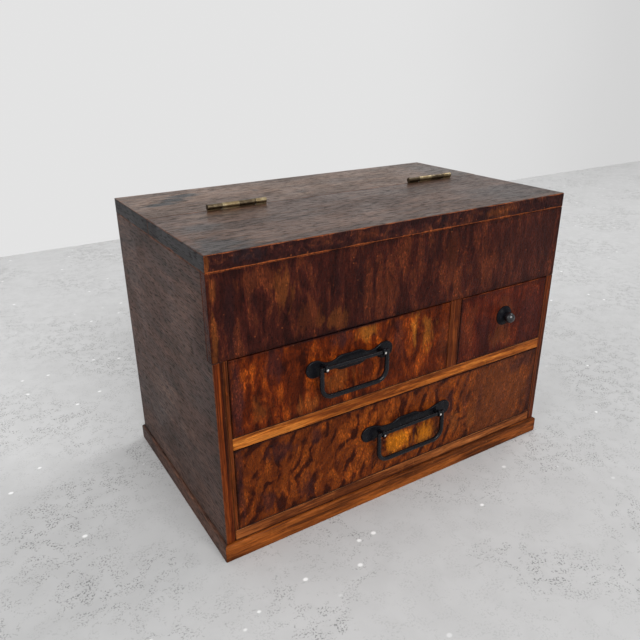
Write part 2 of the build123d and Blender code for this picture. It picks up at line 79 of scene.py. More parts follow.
class Pen:
    """Draws the nodes of one tree and links each to what feeds it."""

    def __init__(self, tree: bpy.types.NodeTree) -> None:
        """Take the material's, world's or group's node tree to draw in."""
        self.tree = tree

    def node(self, kind: str, feeds: dict | None = None, **settings) -> bpy.types.Node:
        """Add a node.

        Args:
            kind: The node's Blender type.
            feeds: What goes into each input socket, by the socket's name or number.
            **settings: The node's own properties.

        Returns:
            The new node.
        """
        made = self.tree.nodes.new(kind)
        for name, setting in settings.items():
            setattr(made, name, setting)
        for key, value in (feeds or {}).items():
            self.feed(made.inputs[key], value)
        return made

    def feed(self, socket: Socket, value: Feed) -> None:
        """Link a socket to another one, or write a plain value on it.

        Args:
            socket: The input socket.
            value: What goes into it. A colour may leave out its alpha.
        """
        if isinstance(value, Socket):
            self.tree.links.new(value, socket)
        elif socket.type == "RGBA" and len(value) == 3:
            socket.default_value = (*value, 1)
        else:
            socket.default_value = value

    def math(self, operation: str, first: Feed, second: Feed = 0.0) -> Socket:
        """Work out one number from two."""
        return self.node("ShaderNodeMath", {0: first, 1: second}, operation=operation).outputs[0]

    def times(self, first: Feed, second: Feed) -> Socket:
        """Multiply two numbers."""
        return self.math("MULTIPLY", first, second)

    def plus(self, first: Feed, second: Feed) -> Socket:
        """Add two numbers."""
        return self.math("ADD", first, second)

    def minus(self, first: Feed, second: Feed) -> Socket:
        """Take the second number from the first."""
        return self.math("SUBTRACT", first, second)

    def mean(self, first: Feed, second: Feed) -> Socket:
        """Take the middle of two numbers."""
        return self.times(self.plus(first, second), 0.5)

    def vector(self, operation: str, first: Feed, second: Feed = (0, 0, 0)) -> Socket:
        """Work out one vector from two."""
        feeds = {0: first, 1: second}
        return self.node("ShaderNodeVectorMath", feeds, operation=operation).outputs[0]

    def measure(self, operation: str, first: Feed, second: Feed = (0, 0, 0)) -> Socket:
        """Work out one number from two vectors."""
        feeds = {0: first, 1: second}
        return self.node("ShaderNodeVectorMath", feeds, operation=operation).outputs["Value"]

    def noise(
        self, vector: Feed, scale: float, detail: float, warp: float = 0, gives: str = "Fac"
    ) -> Socket:
        """Add a noise texture, with so many finer layers and so much warp."""
        feeds = {"Vector": vector, "Scale": scale, "Detail": detail, "Distortion": warp}
        return self.node("ShaderNodeTexNoise", feeds).outputs[gives]

    def drift(self, vector: Feed, scale: float, detail: float) -> Socket:
        """Read a noise as a push to all sides, from -0.5 to 0.5 each way."""
        noise = self.noise(vector, scale, detail, gives="Color")
        return self.vector("SUBTRACT", noise, (0.5, 0.5, 0.5))

    def push(self, vector: Feed, scale: float, detail: float, warp: float, reach: Feed) -> Socket:
        """Read a noise as a push up or down, by up to half of a reach."""
        return self.times(self.minus(self.noise(vector, scale, detail, warp), 0.5), reach)

    def step(self, value: Feed, low: Feed, high: Feed) -> Socket:
        """Rise smoothly from 0 to 1 as a value goes from low to high."""
        feeds = {"Value": value, "From Min": low, "From Max": high}
        return self.node("ShaderNodeMapRange", feeds, interpolation_type="SMOOTHSTEP").outputs[0]

    def fall(self, value: Feed, low: Feed, high: Feed) -> Socket:
        """Fall smoothly from 1 to 0 as a value goes from low to high."""
        return self.minus(1, self.step(value, low, high))

    def mix(self, share: Feed, first: Feed, second: Feed, blend: str = "MIX") -> Socket:
        """Lay a share of the second colour over the first."""
        feeds = {0: share, 6: first, 7: second}
        return self.node("ShaderNodeMix", feeds, data_type="RGBA", blend_type=blend).outputs[2]

    def ramp(self, value: Feed, places: Triple, tones: tuple[Colour, ...]) -> Socket:
        """Turn a value into a colour.

        Args:
            value: The value, from 0 to 1.
            places: Places along the value.
            tones: The colour at each place.

        Returns:
            The colour's socket.
        """
        made = self.node("ShaderNodeValToRGB", {"Fac": value})
        band = made.color_ramp
        while len(band.elements) < len(tones):
            band.elements.new(0.5)
        for element, place, tone in zip(band.elements, places, tones):
            element.position = place
            element.color = (*tone, 1)
        return made.outputs[0]

    def pattern(self, shared: "type[Pattern]", vector: Feed, **feeds: Feed) -> Outputs:
        """Place a shared pattern, read at the vector, and give its outputs."""
        feeds["Vector"] = vector
        return self.node("ShaderNodeGroup", feeds, node_tree=shared().tree()).outputs

    def surface(self, feeds: dict, height: Socket, relief: float, depth: float) -> None:
        """Finish a material with a bumped Principled surface.

        Args:
            feeds: What goes into the shader's sockets.
            height: The bumps' height.
            relief: How strongly they show, from 0 to 1.
            depth: How deep they are.
        """
        bumps = {"Height": height, "Strength": relief, "Distance": depth * MM}
        normal = self.node("ShaderNodeBump", bumps).outputs[0]
        shader = self.node("ShaderNodeBsdfPrincipled", {**feeds, "Normal": normal})
        self.node("ShaderNodeOutputMaterial", {"Surface": shader.outputs[0]})


def blank_material(name: str) -> tuple[Material, Pen, Socket]:
    """Start a material.

    Args:
        name: Its name.

    Returns:
        The material, a pen on its emptied tree and the shaded point in Object coordinates.
    """
    made = bpy.data.materials.new(name)
    made.use_nodes = True
    made.node_tree.nodes.clear()
    pen = Pen(made.node_tree)
    return made, pen, pen.node("ShaderNodeTexCoord").outputs["Object"]


# ---------------------------------------------------------------- patterns that finishes share


class Pattern:
    """A shader node group that many finishes share. It is built the first time it is placed."""

    title = ""
    takes: dict[str, str] = {}
    gives: tuple[str, ...] = ()

    def tree(self) -> bpy.types.NodeTree:
        """Build the pattern's group, or find it if it is there.

        Returns:
            The group.
        """
        if self.title in bpy.data.node_groups:
            return bpy.data.node_groups[self.title]
        group = bpy.data.node_groups.new(self.title, "ShaderNodeTree")
        for name, kind in {"Vector": "Vector", **self.takes}.items():
            group.interface.new_socket(name, in_out="INPUT", socket_type=f"NodeSocket{kind}")
        for name in self.gives:
            group.interface.new_socket(name, in_out="OUTPUT", socket_type="NodeSocketFloat")
        pen = Pen(group)
        inlet = pen.node("NodeGroupInput")
        pen.node("NodeGroupOutput", self.draw(pen, inlet.outputs))
        LOG.info("pattern %s", self.title)
        return group

    def draw(self, pen: Pen, taken: Outputs) -> dict[str, Feed]:
        """Draw the pattern's nodes.

        Args:
            pen: Draws in the group.
            taken: The group's inputs, by name.

        Returns:
            What each named output gives.
        """
        raise NotImplementedError


class WornEdges(Pattern):
    """Ragged wear along a board's edges, found from how near a point is to the board's limits."""

    title = "worn_edges"
    takes = {"Low": "Vector", "High": "Vector", "Width": "Float"}
    gives = ("Wear", "Rim")

    def draw(self, pen: Pen, taken: Outputs) -> dict[str, Feed]:
        """Measure the distance to the nearest edge, and break the wear up with noise.

        An edge is where two of the three distances to the limits are small, so the distance to
        the nearest edge is the middle one of the three.
        """
        place, width = taken["Vector"], taken["Width"]
        from_low = pen.vector("ABSOLUTE", pen.vector("SUBTRACT", place, taken["Low"]))
        from_high = pen.vector("ABSOLUTE", pen.vector("SUBTRACT", taken["High"], place))
        near = pen.vector("MINIMUM", from_low, from_high)
        parts = pen.node("ShaderNodeSeparateXYZ", {0: near}).outputs
        lesser = pen.math("MINIMUM", parts[0], parts[1])
        greater = pen.math("MAXIMUM", parts[0], parts[1])
        edge = pen.math("MAXIMUM", lesser, pen.math("MINIMUM", greater, parts[2]))
        broad = pen.step(pen.noise(place, 55, 2), 0.3, 0.75)
        fine = pen.plus(pen.noise(place, 420, 3), 0.45)
        reach = pen.times(pen.times(width, pen.plus(broad, 0.25)), fine)
        return {
            "Wear": pen.fall(edge, pen.times(reach, 0.45), reach),
            "Rim": pen.fall(edge, 0, pen.times(width, 9)),
        }


class FlameFigure(Pattern):
    """Wavy light and dark flames, as the figured face of a board shows them."""

    title = "flame_figure"
    takes = {"Stretch": "Vector", "Seed": "Vector", "Curl": "Float"}
    gives = ("Figure", "Streak")

    def draw(self, pen: Pen, taken: Outputs) -> dict[str, Feed]:
        """Bend stretched noise with broader noise, so that its streaks curl."""
        place = pen.vector("MULTIPLY", taken["Vector"], taken["Stretch"])
        place = pen.vector("ADD", place, taken["Seed"])
        bend = pen.vector("MULTIPLY", pen.drift(place, 1.1, 3), taken["Curl"])
        bent = pen.vector("ADD", place, bend)
        figure = pen.mean(pen.noise(bent, 0.9, 2, 0.4), pen.noise(bent, 2.7, 4, 0.8))
        streak = pen.noise(bent, 6.5, 3, 0.3)
        return {
            "Figure": pen.step(figure, 0.33, 0.67),
            "Streak": pen.step(streak, 0.35, 0.68),
        }


class WavyStripes(Pattern):
    """Dark and light stripes that lean, waver and fold back on themselves."""

    title = "wavy_stripes"
    takes = {"Way": "Vector", "Seed": "Vector", "Waver": "Float"}
    gives = ("Stripes",)

    def draw(self, pen: Pen, taken: Outputs) -> dict[str, Feed]:
        """Count along the way across the stripes, push the count about, take its sine."""
        place = pen.vector("MULTIPLY", taken["Vector"], (42, 42, 30))
        place = pen.vector("ADD", place, taken["Seed"])
        push = pen.push(place, 1, 3, 0.5, taken["Waver"])
        along = pen.measure("DOT_PRODUCT", taken["Vector"], taken["Way"])
        wave = pen.math("SINE", pen.times(pen.plus(along, push), math.tau))
        dark = pen.fall(pen.mean(wave, 1), 0, 0.6)
        strength = pen.step(pen.noise(place, 2.1, 2), 0.3, 0.6)
        return {"Stripes": pen.minus(1, pen.times(dark, strength))}


class WoodGrain(Pattern):
    """Grain lines, dark open pores and bright short flecks, drawn out along the board."""

    title = "wood_grain"
    takes = {"Stretch": "Vector"}
    gives = ("Grain", "Pores", "Flecks", "Height")

    def draw(self, pen: Pen, taken: Outputs) -> dict[str, Feed]:
        """Stretch noise into lines, and cut ever shorter marks from finer ones."""
        sway = pen.vector("MULTIPLY", pen.drift(taken["Vector"], 14, 1), (0.006,) * 3)
        place = pen.vector("ADD", taken["Vector"], sway)
        place = pen.vector("MULTIPLY", place, taken["Stretch"])
        broad = pen.step(pen.noise(place, 0.6, 2, 0.1), 0.36, 0.6)
        fine = pen.step(pen.noise(place, 1.7, 2), 0.38, 0.6)
        grain = pen.mean(broad, fine)
        shorter = pen.vector("MULTIPLY", taken["Stretch"], (2, 2, 2))
        shorter = pen.vector("MAXIMUM", shorter, (120, 120, 120))
        shorter = pen.vector("MINIMUM", shorter, (900, 900, 900))
        short = pen.vector("MULTIPLY", taken["Vector"], shorter)
        pores = pen.step(pen.noise(short, 1.1, 3), 0.48, 0.68)
        flecks = pen.step(pen.noise(short, 1.3, 3, 0.4), 0.53, 0.62)
        height = pen.minus(pen.times(grain, 0.4), pores)
        return {"Grain": grain, "Pores": pores, "Flecks": flecks, "Height": height}


class Handling(Pattern):
    """What years of use leave: cloudy grime, scuffs and tiny pale chips."""

    title = "handling"
    takes = {"Seed": "Vector"}
    gives = ("Grime", "Scuffs", "Chips")

    def draw(self, pen: Pen, taken: Outputs) -> dict[str, Feed]:
        """Layer broad clouds, thin scuffs and sparse dots."""
        place = pen.vector("ADD", taken["Vector"], taken["Seed"])
        grime = pen.step(pen.noise(place, 21, 4, 0.6), 0.35, 0.66)
        drawn = pen.vector("MULTIPLY", place, (260, 260, 60))
        lines = pen.step(pen.noise(drawn, 1, 3, 1.2), 0.62, 0.72)
        spread = pen.step(pen.noise(place, 38, 2), 0.45, 0.65)
        dots = pen.node("ShaderNodeTexVoronoi", {"Vector": place, "Scale": 240}).outputs
        near = pen.fall(dots["Distance"], 0.09, 0.2)
        few = pen.node("ShaderNodeSeparateColor", {0: dots["Color"]}).outputs[0]
        chips = pen.times(near, pen.step(few, 0.9, 0.95))
        return {"Grime": grime, "Scuffs": pen.times(lines, spread), "Chips": chips}


class SoftPatch(Pattern):
    """A ragged soft-edged patch at one place, such as a knot or a rubbed spot."""

    title = "soft_patch"
    takes = {"Centre": "Vector", "Size": "Vector", "Flow": "Vector", "Ragged": "Float"}
    gives = ("Patch",)

    def draw(self, pen: Pen, taken: Outputs) -> dict[str, Feed]:
        """Fade out from the centre, with the outline pushed about by drawn-out noise."""
        away = pen.vector("SUBTRACT", taken["Vector"], taken["Centre"])
        reach = pen.measure("LENGTH", pen.vector("DIVIDE", away, taken["Size"]))
        drawn = pen.vector("MULTIPLY", taken["Vector"], taken["Flow"])
        push = pen.push(drawn, 1, 4, 0.7, taken["Ragged"])
        return {"Patch": pen.fall(pen.plus(reach, push), 0.35, 1.05)}


class BeatenMetal(Pattern):
    """Shallow hammer marks, fine pitting and rubbed patches on a small metal fitting."""

    title = "beaten_metal"
    takes = {"Scale": "Float"}
    gives = ("Height", "Rubbed", "Pits")

    def draw(self, pen: Pen, taken: Outputs) -> dict[str, Feed]:
        """Layer smooth cells, fine noise and broad clouds."""
        place = taken["Vector"]
        feeds = {"Vector": place, "Scale": taken["Scale"]}
        cells = pen.node("ShaderNodeTexVoronoi", feeds, feature="SMOOTH_F1").outputs
        pits = pen.step(pen.noise(place, 1900, 3), 0.6, 0.75)
        rubbed = pen.step(pen.noise(place, 190, 3, 0.4), 0.45, 0.7)
        height = pen.minus(cells["Distance"], pen.times(pits, 0.35))
        return {"Height": height, "Rubbed": rubbed, "Pits": pits}


# ---------------------------------------------------------------- finishes


LINE_SHADE = (0.25, 0.22, 0.20)
PORE_SHADE = (0.12, 0.10, 0.10)
GRIME_SHADE = (0.42, 0.38, 0.40)
RIM_SHADE = (0.35, 0.30, 0.32)
FLECK_LIGHT = (1.0, 0.9, 0.8)
METAL_FLOW = (400, 400, 400)
WOOD_BUMP = 0.35
METAL_BUMP = 0.25
FLOOR_BUMP = 0.5
WEAR_HOLLOW = 0.8
STREAK_RIDGE = 0.25
RUBBED_SMOOTHER = 0.08
PITS_ROUGHER = 0.2


class Grain(Enum):
    """How a board's grain runs, in grain lines per metre along x, y and z."""

    ALONG_X = (34, 760, 760)
    ALONG_Z = (760, 760, 34)
    BROAD_X = (22, 270, 270)
    BROAD_Y = (400, 24, 400)
    CURLED = (420, 420, 170)


@dataclass(frozen=True)
class Patch:
    """A coloured patch: its place on a piece, its reach each way, its cover and its unevenness."""

    centre: Triple
    size: Triple
    colour: Colour
    strength: float
    ragged: float

    def mask(self, pen: Pen, place: Socket, flow: Triple) -> Socket:
        """Draw how far the patch covers what is beneath.

        Args:
            pen: Draws in the material.
            place: The shaded point.
            flow: How its ragged outline is drawn out, in flames per metre.

        Returns:
            The covered share, from 0 to the patch's strength.
        """
        centre, size = (tuple(part * MM for part in parts) for parts in (self.centre, self.size))
        feeds = {"Centre": centre, "Size": size, "Flow": flow, "Ragged": self.ragged}
        return pen.times(pen.pattern(SoftPatch, place, **feeds)["Patch"], self.strength)


@dataclass(frozen=True)
class WoodFinish:
    """Lacquered or bare wood: three tones of figure, grain, wear along the edges and patches."""

    name: str
    deep: Colour
    body: Colour
    glow: Colour
    worn: Colour
    figure: Triple
    curl: float
    streaks: float
    grain_depth: float
    wear_width: float
    wear_share: float
    flecks: float
    roughness: float
    gloss: float
    grain: Grain = Grain.ALONG_X
    flow: Triple = (200, 200, 70)
    seed: Triple = (0, 0, 0)
    tones: Triple = (0.12, 0.5, 0.92)
    stripes: float = 0.0
    stripe_way: Triple = (85, 0, -6)
    waver: float = 0.0
    pore_depth: float = 0.4
    grime: float = 0.35
    chips: float = 0.3
    rim: float = 0.35
    relief: float = 0.25
    patches: tuple[Patch, ...] = ()

    def material(self, piece: str, low: Vector, high: Vector) -> Material:
        """Make the finish for one board.

        Args:
            piece: The board's name.
            low: The board's lowest corner, in metres.
            high: Its highest corner.

        Returns:
            The material.
        """
        made, pen, place = blank_material(f"{piece}_{self.name}")
        feeds = {"Stretch": self.figure, "Seed": self.seed, "Curl": self.curl}
        flames = pen.pattern(FlameFigure, place, **feeds)
        grain = pen.pattern(WoodGrain, place, Stretch=self.grain.value)
        use = pen.pattern(Handling, place, Seed=self.seed)
        feeds = {"Low": tuple(low), "High": tuple(high), "Width": self.wear_width * MM}
        edges = pen.pattern(WornEdges, place, **feeds)
        wear = pen.times(edges["Wear"], self.wear_share)
        figure = flames["Figure"]
        if self.stripes:
            feeds = {"Way": self.stripe_way, "Seed": self.seed, "Waver": self.waver}
            stripes = pen.pattern(WavyStripes, place, **feeds)["Stripes"]
            stripes = pen.times(pen.minus(stripes, 0.5), self.stripes)
            figure = pen.plus(pen.times(figure, 1 - 0.5 * self.stripes), stripes)
        colour = pen.ramp(figure, self.tones, (self.deep, self.body, self.glow))
        colour = pen.mix(pen.times(flames["Streak"], self.streaks), colour, self.deep)
        colour = pen.mix(wear, colour, self.worn)
        for patch in self.patches:
            colour = pen.mix(patch.mask(pen, place, self.flow), colour, patch.colour)
        for mask, share, shade in (
            (pen.minus(1, grain["Grain"]), self.grain_depth, LINE_SHADE),
            (grain["Pores"], self.pore_depth, PORE_SHADE),
            (use["Grime"], self.grime, GRIME_SHADE),
            (edges["Rim"], self.rim, RIM_SHADE),
        ):
            colour = pen.mix(pen.times(mask, share), colour, shade, "MULTIPLY")
        shine = pen.times(pen.times(grain["Flecks"], self.flecks), flames["Figure"])
        colour = pen.mix(shine, colour, FLECK_LIGHT, "DODGE")
        colour = pen.mix(pen.times(use["Scuffs"], self.flecks), colour, self.glow)
        colour = pen.mix(pen.times(use["Chips"], self.chips), colour, self.worn)
        rough = self.roughness
        for mask, rise in (
            (use["Grime"], 0.1),
            (use["Scuffs"], 0.12),
            (grain["Pores"], 0.15),
            (wear, 0.14),
        ):
            rough = pen.plus(rough, pen.times(mask, rise))
        height = pen.minus(grain["Height"], pen.times(wear, WEAR_HOLLOW))
        height = pen.plus(height, pen.times(flames["Streak"], STREAK_RIDGE))
        feeds = {"Base Color": colour, "Roughness": rough, "Specular IOR Level": self.gloss}
        pen.surface(feeds, height, self.relief, WOOD_BUMP)
        return made


@dataclass(frozen=True)
class MetalFinish:
    """A small fitting's metal, with hammer marks, pitting and places rubbed bright."""

    name: str
    body: Colour
    rubbed: Colour
    dull: Colour
    metallic: float
    roughness: float
    gloss: float = 0.5
    cell_scale: float = 420
    relief: float = 0.35
    rub_share: float = 0.5
    pit_share: float = 0.6
    # Painted highlights: pale spots laid over the metal's colour.
    painted_glints: tuple[Patch, ...] = ()

    def material(self, piece: str) -> Material:
        """Make the finish for one fitting.

        Args:
            piece: The fitting's name.

        Returns:
            The material.
        """
        made, pen, place = blank_material(f"{piece}_{self.name}")
        beaten = pen.pattern(BeatenMetal, place, Scale=self.cell_scale)
        rubbed, pits = beaten["Rubbed"], beaten["Pits"]
        colour = pen.mix(pen.times(rubbed, self.rub_share), self.body, self.rubbed)
        colour = pen.mix(pen.times(pits, self.pit_share), colour, self.dull)
        for spot in self.painted_glints:
            colour = pen.mix(spot.mask(pen, place, METAL_FLOW), colour, spot.colour)
        rough = pen.minus(self.roughness, pen.times(rubbed, RUBBED_SMOOTHER))
        rough = pen.plus(rough, pen.times(pits, PITS_ROUGHER))
        feeds = {"Base Color": colour, "Metallic": self.metallic, "Roughness": rough}
        feeds["Specular IOR Level"] = self.gloss
        pen.surface(feeds, beaten["Height"], self.relief, METAL_BUMP)
        return made


THROUGH = 20.0
ALL_ALONG = 2000.0
TOP_Z = 238.0
# Near-black: dark marks in the figure, and painted shade in the gaps round the drawers and the seam
# above the plinth.
DARK_MARK_AND_SHADE = (0.020, 0.006, 0.006)
PLUM = (0.038, 0.011, 0.011)
RUST = (0.130, 0.030, 0.009)
ORANGE = (0.230, 0.066, 0.013)
AMBER = (0.420, 0.150, 0.018)
ORANGE_WEAR = (0.42, 0.110, 0.030)
AMBER_GLOW = (0.44, 0.135, 0.007)
# Pale steel grey for the painted highlight on the front of each pull eye.
PAINTED_GLINT = (0.70, 0.66, 0.62)


def mark(
    from_left: float, height: float, half_width: float, half_height: float,
    colour: Colour, strength: float, ragged: float,
) -> Patch:
    """Place a patch on the chest's front, so far from the case's left side and so high up."""
    centre = (from_left - CASE_HALF_WIDTH, FRONT_Y, height)
    return Patch(centre, (half_width, THROUGH, half_height), colour, strength, ragged)


TOP_LACQUER = WoodFinish(
    "top_lacquer",
    deep=(0.073, 0.036, 0.022), body=(0.101, 0.050, 0.030), glow=(0.129, 0.067, 0.042),
    worn=(0.26, 0.10, 0.05), grain=Grain.BROAD_X, figure=(7, 40, 20), flow=(70, 200, 200),
    tones=(0.0, 0.5, 1.0), curl=0.6, streaks=0.12, grain_depth=0.75, pore_depth=0.75,
    wear_width=1.2, wear_share=0.6, grime=0.25, roughness=0.28, gloss=0.17, relief=0.7, chips=0.1,
    flecks=0.25, rim=0.2,
    patches=(
        Patch((-140, 56, TOP_Z), (18, 9, THROUGH), (0.012, 0.010, 0.011), 1.0, 1.5),
        Patch((-127, 67, TOP_Z), (19, 10, THROUGH), (0.010, 0.008, 0.009), 1.0, 1.5),
        Patch((-112, 78, TOP_Z), (18, 8, THROUGH), (0.012, 0.010, 0.011), 1.0, 1.5),
        Patch((-51, 66, TOP_Z), (3, 5, THROUGH), (0.040, 0.028, 0.024), 0.7, 1.3),
        Patch((-19, 38, TOP_Z), (6, 4, THROUGH), (0.045, 0.030, 0.024), 0.6, 1.5),
        Patch((-150, -78, TOP_Z), (26, 26, THROUGH), (0.048, 0.046, 0.048), 0.8, 1.8),
        Patch((-140, -30, TOP_Z), (20, 16, THROUGH), (0.052, 0.048, 0.050), 0.5, 1.8),
        Patch((-161, -50, TOP_Z), (4, 34, THROUGH), (0.150, 0.062, 0.030), 0.5, 1.6),
        Patch((-110, 0, TOP_Z), (40, 16, THROUGH), (0.140, 0.085, 0.050), 0.4, 1.6),
        # Painted shade: the next two dark patches darken the right of the top, where it gets less
        # light.
        Patch((130, -60, TOP_Z), (60, 34, THROUGH), (0.046, 0.027, 0.022), 0.8, 1.4),
        Patch((150, 50, TOP_Z), (30, 60, THROUGH), (0.055, 0.042, 0.038), 0.7, 1.4),
    ),
)
REAR_TOP_LACQUER = replace(
    TOP_LACQUER,
    name="rear_top_lacquer",
    deep=(0.125, 0.070, 0.043), body=(0.167, 0.094, 0.059), glow=(0.212, 0.127, 0.082),
    seed=(0.4, 2.3, 0.0),
)
SIDE_LACQUER = replace(
    TOP_LACQUER,
    name="side_lacquer",
    grain=Grain.BROAD_Y, deep=(0.0485, 0.0242, 0.0175), body=(0.0892, 0.0409, 0.0276),
    glow=(0.126, 0.0632, 0.0442), figure=(20, 7, 34), flow=(200, 70, 200), roughness=0.5,
    gloss=0.22,
    patches=(
        Patch((-CASE_HALF_WIDTH, -30, 150), (THROUGH, 40, 40), (0.115, 0.056, 0.034), 0.35, 1.8),
        Patch((-CASE_HALF_WIDTH, 0, 90), (THROUGH, 60, 20), (0.115, 0.060, 0.038), 0.3, 1.8),
        Patch((-CASE_HALF_WIDTH, 20, 125), (THROUGH, 70, 9), (0.064, 0.046, 0.042), 0.35, 1.8),
        Patch((-CASE_HALF_WIDTH, 60, 60), (THROUGH, 60, 24), (0.070, 0.052, 0.046), 0.35, 1.8),
        Patch((-CASE_HALF_WIDTH, -75, 130), (THROUGH, 22, 140), (0.060, 0.026, 0.018), 0.5, 1.0),
    ),
)
LID_SIDE_LACQUER = replace(
    SIDE_LACQUER,
    name="lid_side_lacquer",
    deep=(0.014, 0.0127, 0.0144), body=(0.0252, 0.0225, 0.0248), glow=(0.0392, 0.0352, 0.0384),
    worn=(0.13, 0.050, 0.024), gloss=0.16,
    patches=(Patch((-CASE_HALF_WIDTH, -32, 226.5), (8, 9, 1.4), (0.20, 0.055, 0.018), 0.8, 1.0),),
)
PANEL_LACQUER = WoodFinish(
    "panel_lacquer",
    deep=(0.0183, 0.00368, 0.00278), body=(0.0519, 0.0104, 0.00636), glow=(0.114, 0.0268, 0.00954),
    worn=ORANGE_WEAR, grain=Grain.CURLED, figure=(75, 30, 19), curl=1.3, tones=(0.02, 0.52, 1.0),
    streaks=0.3, stripes=0.25, waver=2.4, grain_depth=0.3, pore_depth=0.5, wear_width=0.6,
    wear_share=0.7, rim=0.5, flecks=0.6, roughness=0.36, gloss=0.07, relief=0.6,
    patches=(
        mark(290, 190, 60, 60, (0.050, 0.013, 0.0095), 0.45, 0.8),
        mark(14.5, 198, 6, 34, DARK_MARK_AND_SHADE, 0.8, 1.8),
        mark(31, 210, 4, 18, DARK_MARK_AND_SHADE, 0.5, 1.8),
        mark(54, 205, 8, 18, ORANGE, 0.4, 2.6),
        mark(35, 216, 16, 9, RUST, 0.45, 2.6),
        mark(3, 182, 3, 22, ORANGE, 0.55, 2.4),
        mark(4, 215, 3, 10, ORANGE, 0.4, 2.4),
        mark(98, 205, 3.5, 28, DARK_MARK_AND_SHADE, 0.5, 1.8),
        mark(117, 200, 8, 34, DARK_MARK_AND_SHADE, 0.4, 2.0),
        mark(95, 175, 16, 9, ORANGE, 0.4, 2.8),
        mark(72, 180, 14, 14, RUST, 0.45, 2.6),
        mark(183, 212, 14, 14, DARK_MARK_AND_SHADE, 0.4, 2.0),
        mark(140, 185, 12, 22, RUST, 0.35, 2.6),
        mark(205, 200, 8, 26, RUST, 0.3, 2.6),
        mark(262, 195, 5, 36, DARK_MARK_AND_SHADE, 0.3, 2.0),
        mark(310, 200, 6, 32, DARK_MARK_AND_SHADE, 0.3, 2.0),
        mark(245, 185, 14, 18, RUST, 0.25, 2.6),
        # Painted shade: a dark line along the panel's lower edge, in the gap above the upper
        # drawers.
        mark(104, 164.0, 104, 2.0, DARK_MARK_AND_SHADE, 1.0, 0.3),
    ),
)
LID_FRONT_LACQUER = replace(
    PANEL_LACQUER,
    name="lid_front_lacquer",
    deep=(0.019, 0.0054, 0.0055), body=(0.0475, 0.0126, 0.01), glow=(0.123, 0.0333, 0.014),
    figure=(45, 30, 60), seed=(5, 5, 5), wear_width=1.1, wear_share=0.85, rim=0.25,
    patches=(
        mark(30, 233, 14, 6, (0.020, 0.013, 0.016), 0.65, 2.2),
        mark(195, 232, 5, 6, (0.017, 0.008, 0.009), 0.6, 2.0),
        mark(252, 232, 20, 5, ORANGE, 0.35, 2.8),
        mark(122, 232, 10, 5, RUST, 0.35, 2.8),
        mark(1.5, 232, 2.5, 8, ORANGE, 0.6, 2.0),
        mark(292, 233, 18, 5, DARK_MARK_AND_SHADE, 0.4, 2.0),
    ),
)
UPPER_DRAWER_LACQUER = replace(
    PANEL_LACQUER,
    name="drawer_lacquer",
    deep=(0.035, 0.00486, 0.000962), body=(0.122, 0.018, 0.00219), glow=(0.292, 0.0568, 0.00481),
    worn=(0.30, 0.080, 0.020), figure=(60, 30, 22), seed=(3.1, 1.7, 5.3), wear_share=0.35,
    patches=(
        mark(15.5, 135, 6, 34, PLUM, 0.8, 1.8),
        mark(46, 150, 9, 18, PLUM, 0.6, 2.2),
        mark(101, 158, 10, 9, PLUM, 0.8, 1.8),
        mark(155, 145, 7, 22, PLUM, 0.6, 2.2),
        mark(124, 158, 9, 8, AMBER, 0.45, 2.8),
        mark(170, 148, 5, 20, AMBER, 0.5, 2.6),
        mark(184, 142, 7, 20, AMBER, 0.4, 2.8),
        mark(98, 124, 18, 12, ORANGE, 0.5, 2.8),
        # Painted shadow: a dark red patch near the right arm of the pull's bail.
        mark(126, 127, 7, 12, (0.075, 0.014, 0.006), 0.7, 1.8),
        mark(70, 112, 16, 9, ORANGE, 0.5, 2.8),
        mark(33, 118, 9, 14, ORANGE, 0.35, 2.8),
        mark(203, 130, 6, 32, RUST, 0.5, 2.2),
        # Painted shade: dark lines along the drawer's top and left edges, in the gaps round it.
        mark(104, 164.2, 103, 2.2, DARK_MARK_AND_SHADE, 1.0, 0.3),
        mark(11.2, 134, 1.2, 80, DARK_MARK_AND_SHADE, 0.7, 0.4),
    ),
)
SMALL_DRAWER_LACQUER = replace(
    PANEL_LACQUER,
    name="drawer_lacquer",
    deep=(0.0352, 0.00477, 0.00268), body=(0.0801, 0.0116, 0.00482), glow=(0.132, 0.0225, 0.00589),
    figure=(50, 30, 16), seed=(7.7, 2.1, 0.4),
    patches=(
        mark(272, 137, 13, 13, (0.200, 0.048, 0.012), 0.5, 1.0),
        mark(230, 135, 10, 32, RUST, 0.4, 2.6),
        mark(272, 118, 14, 10, ORANGE, 0.25, 2.8),
        mark(273, 150, 9, 8, RUST, 0.4, 2.6),
        mark(249, 135, 5, 32, PLUM, 0.4, 2.0),
        mark(305, 132, 16, 36, PLUM, 0.5, 1.6),
        # Painted shade: a dark line along the drawer's left edge, in the gap beside it.
        mark(220, 134, 1.3, 80, DARK_MARK_AND_SHADE, 0.85, 0.4),
    ),
)
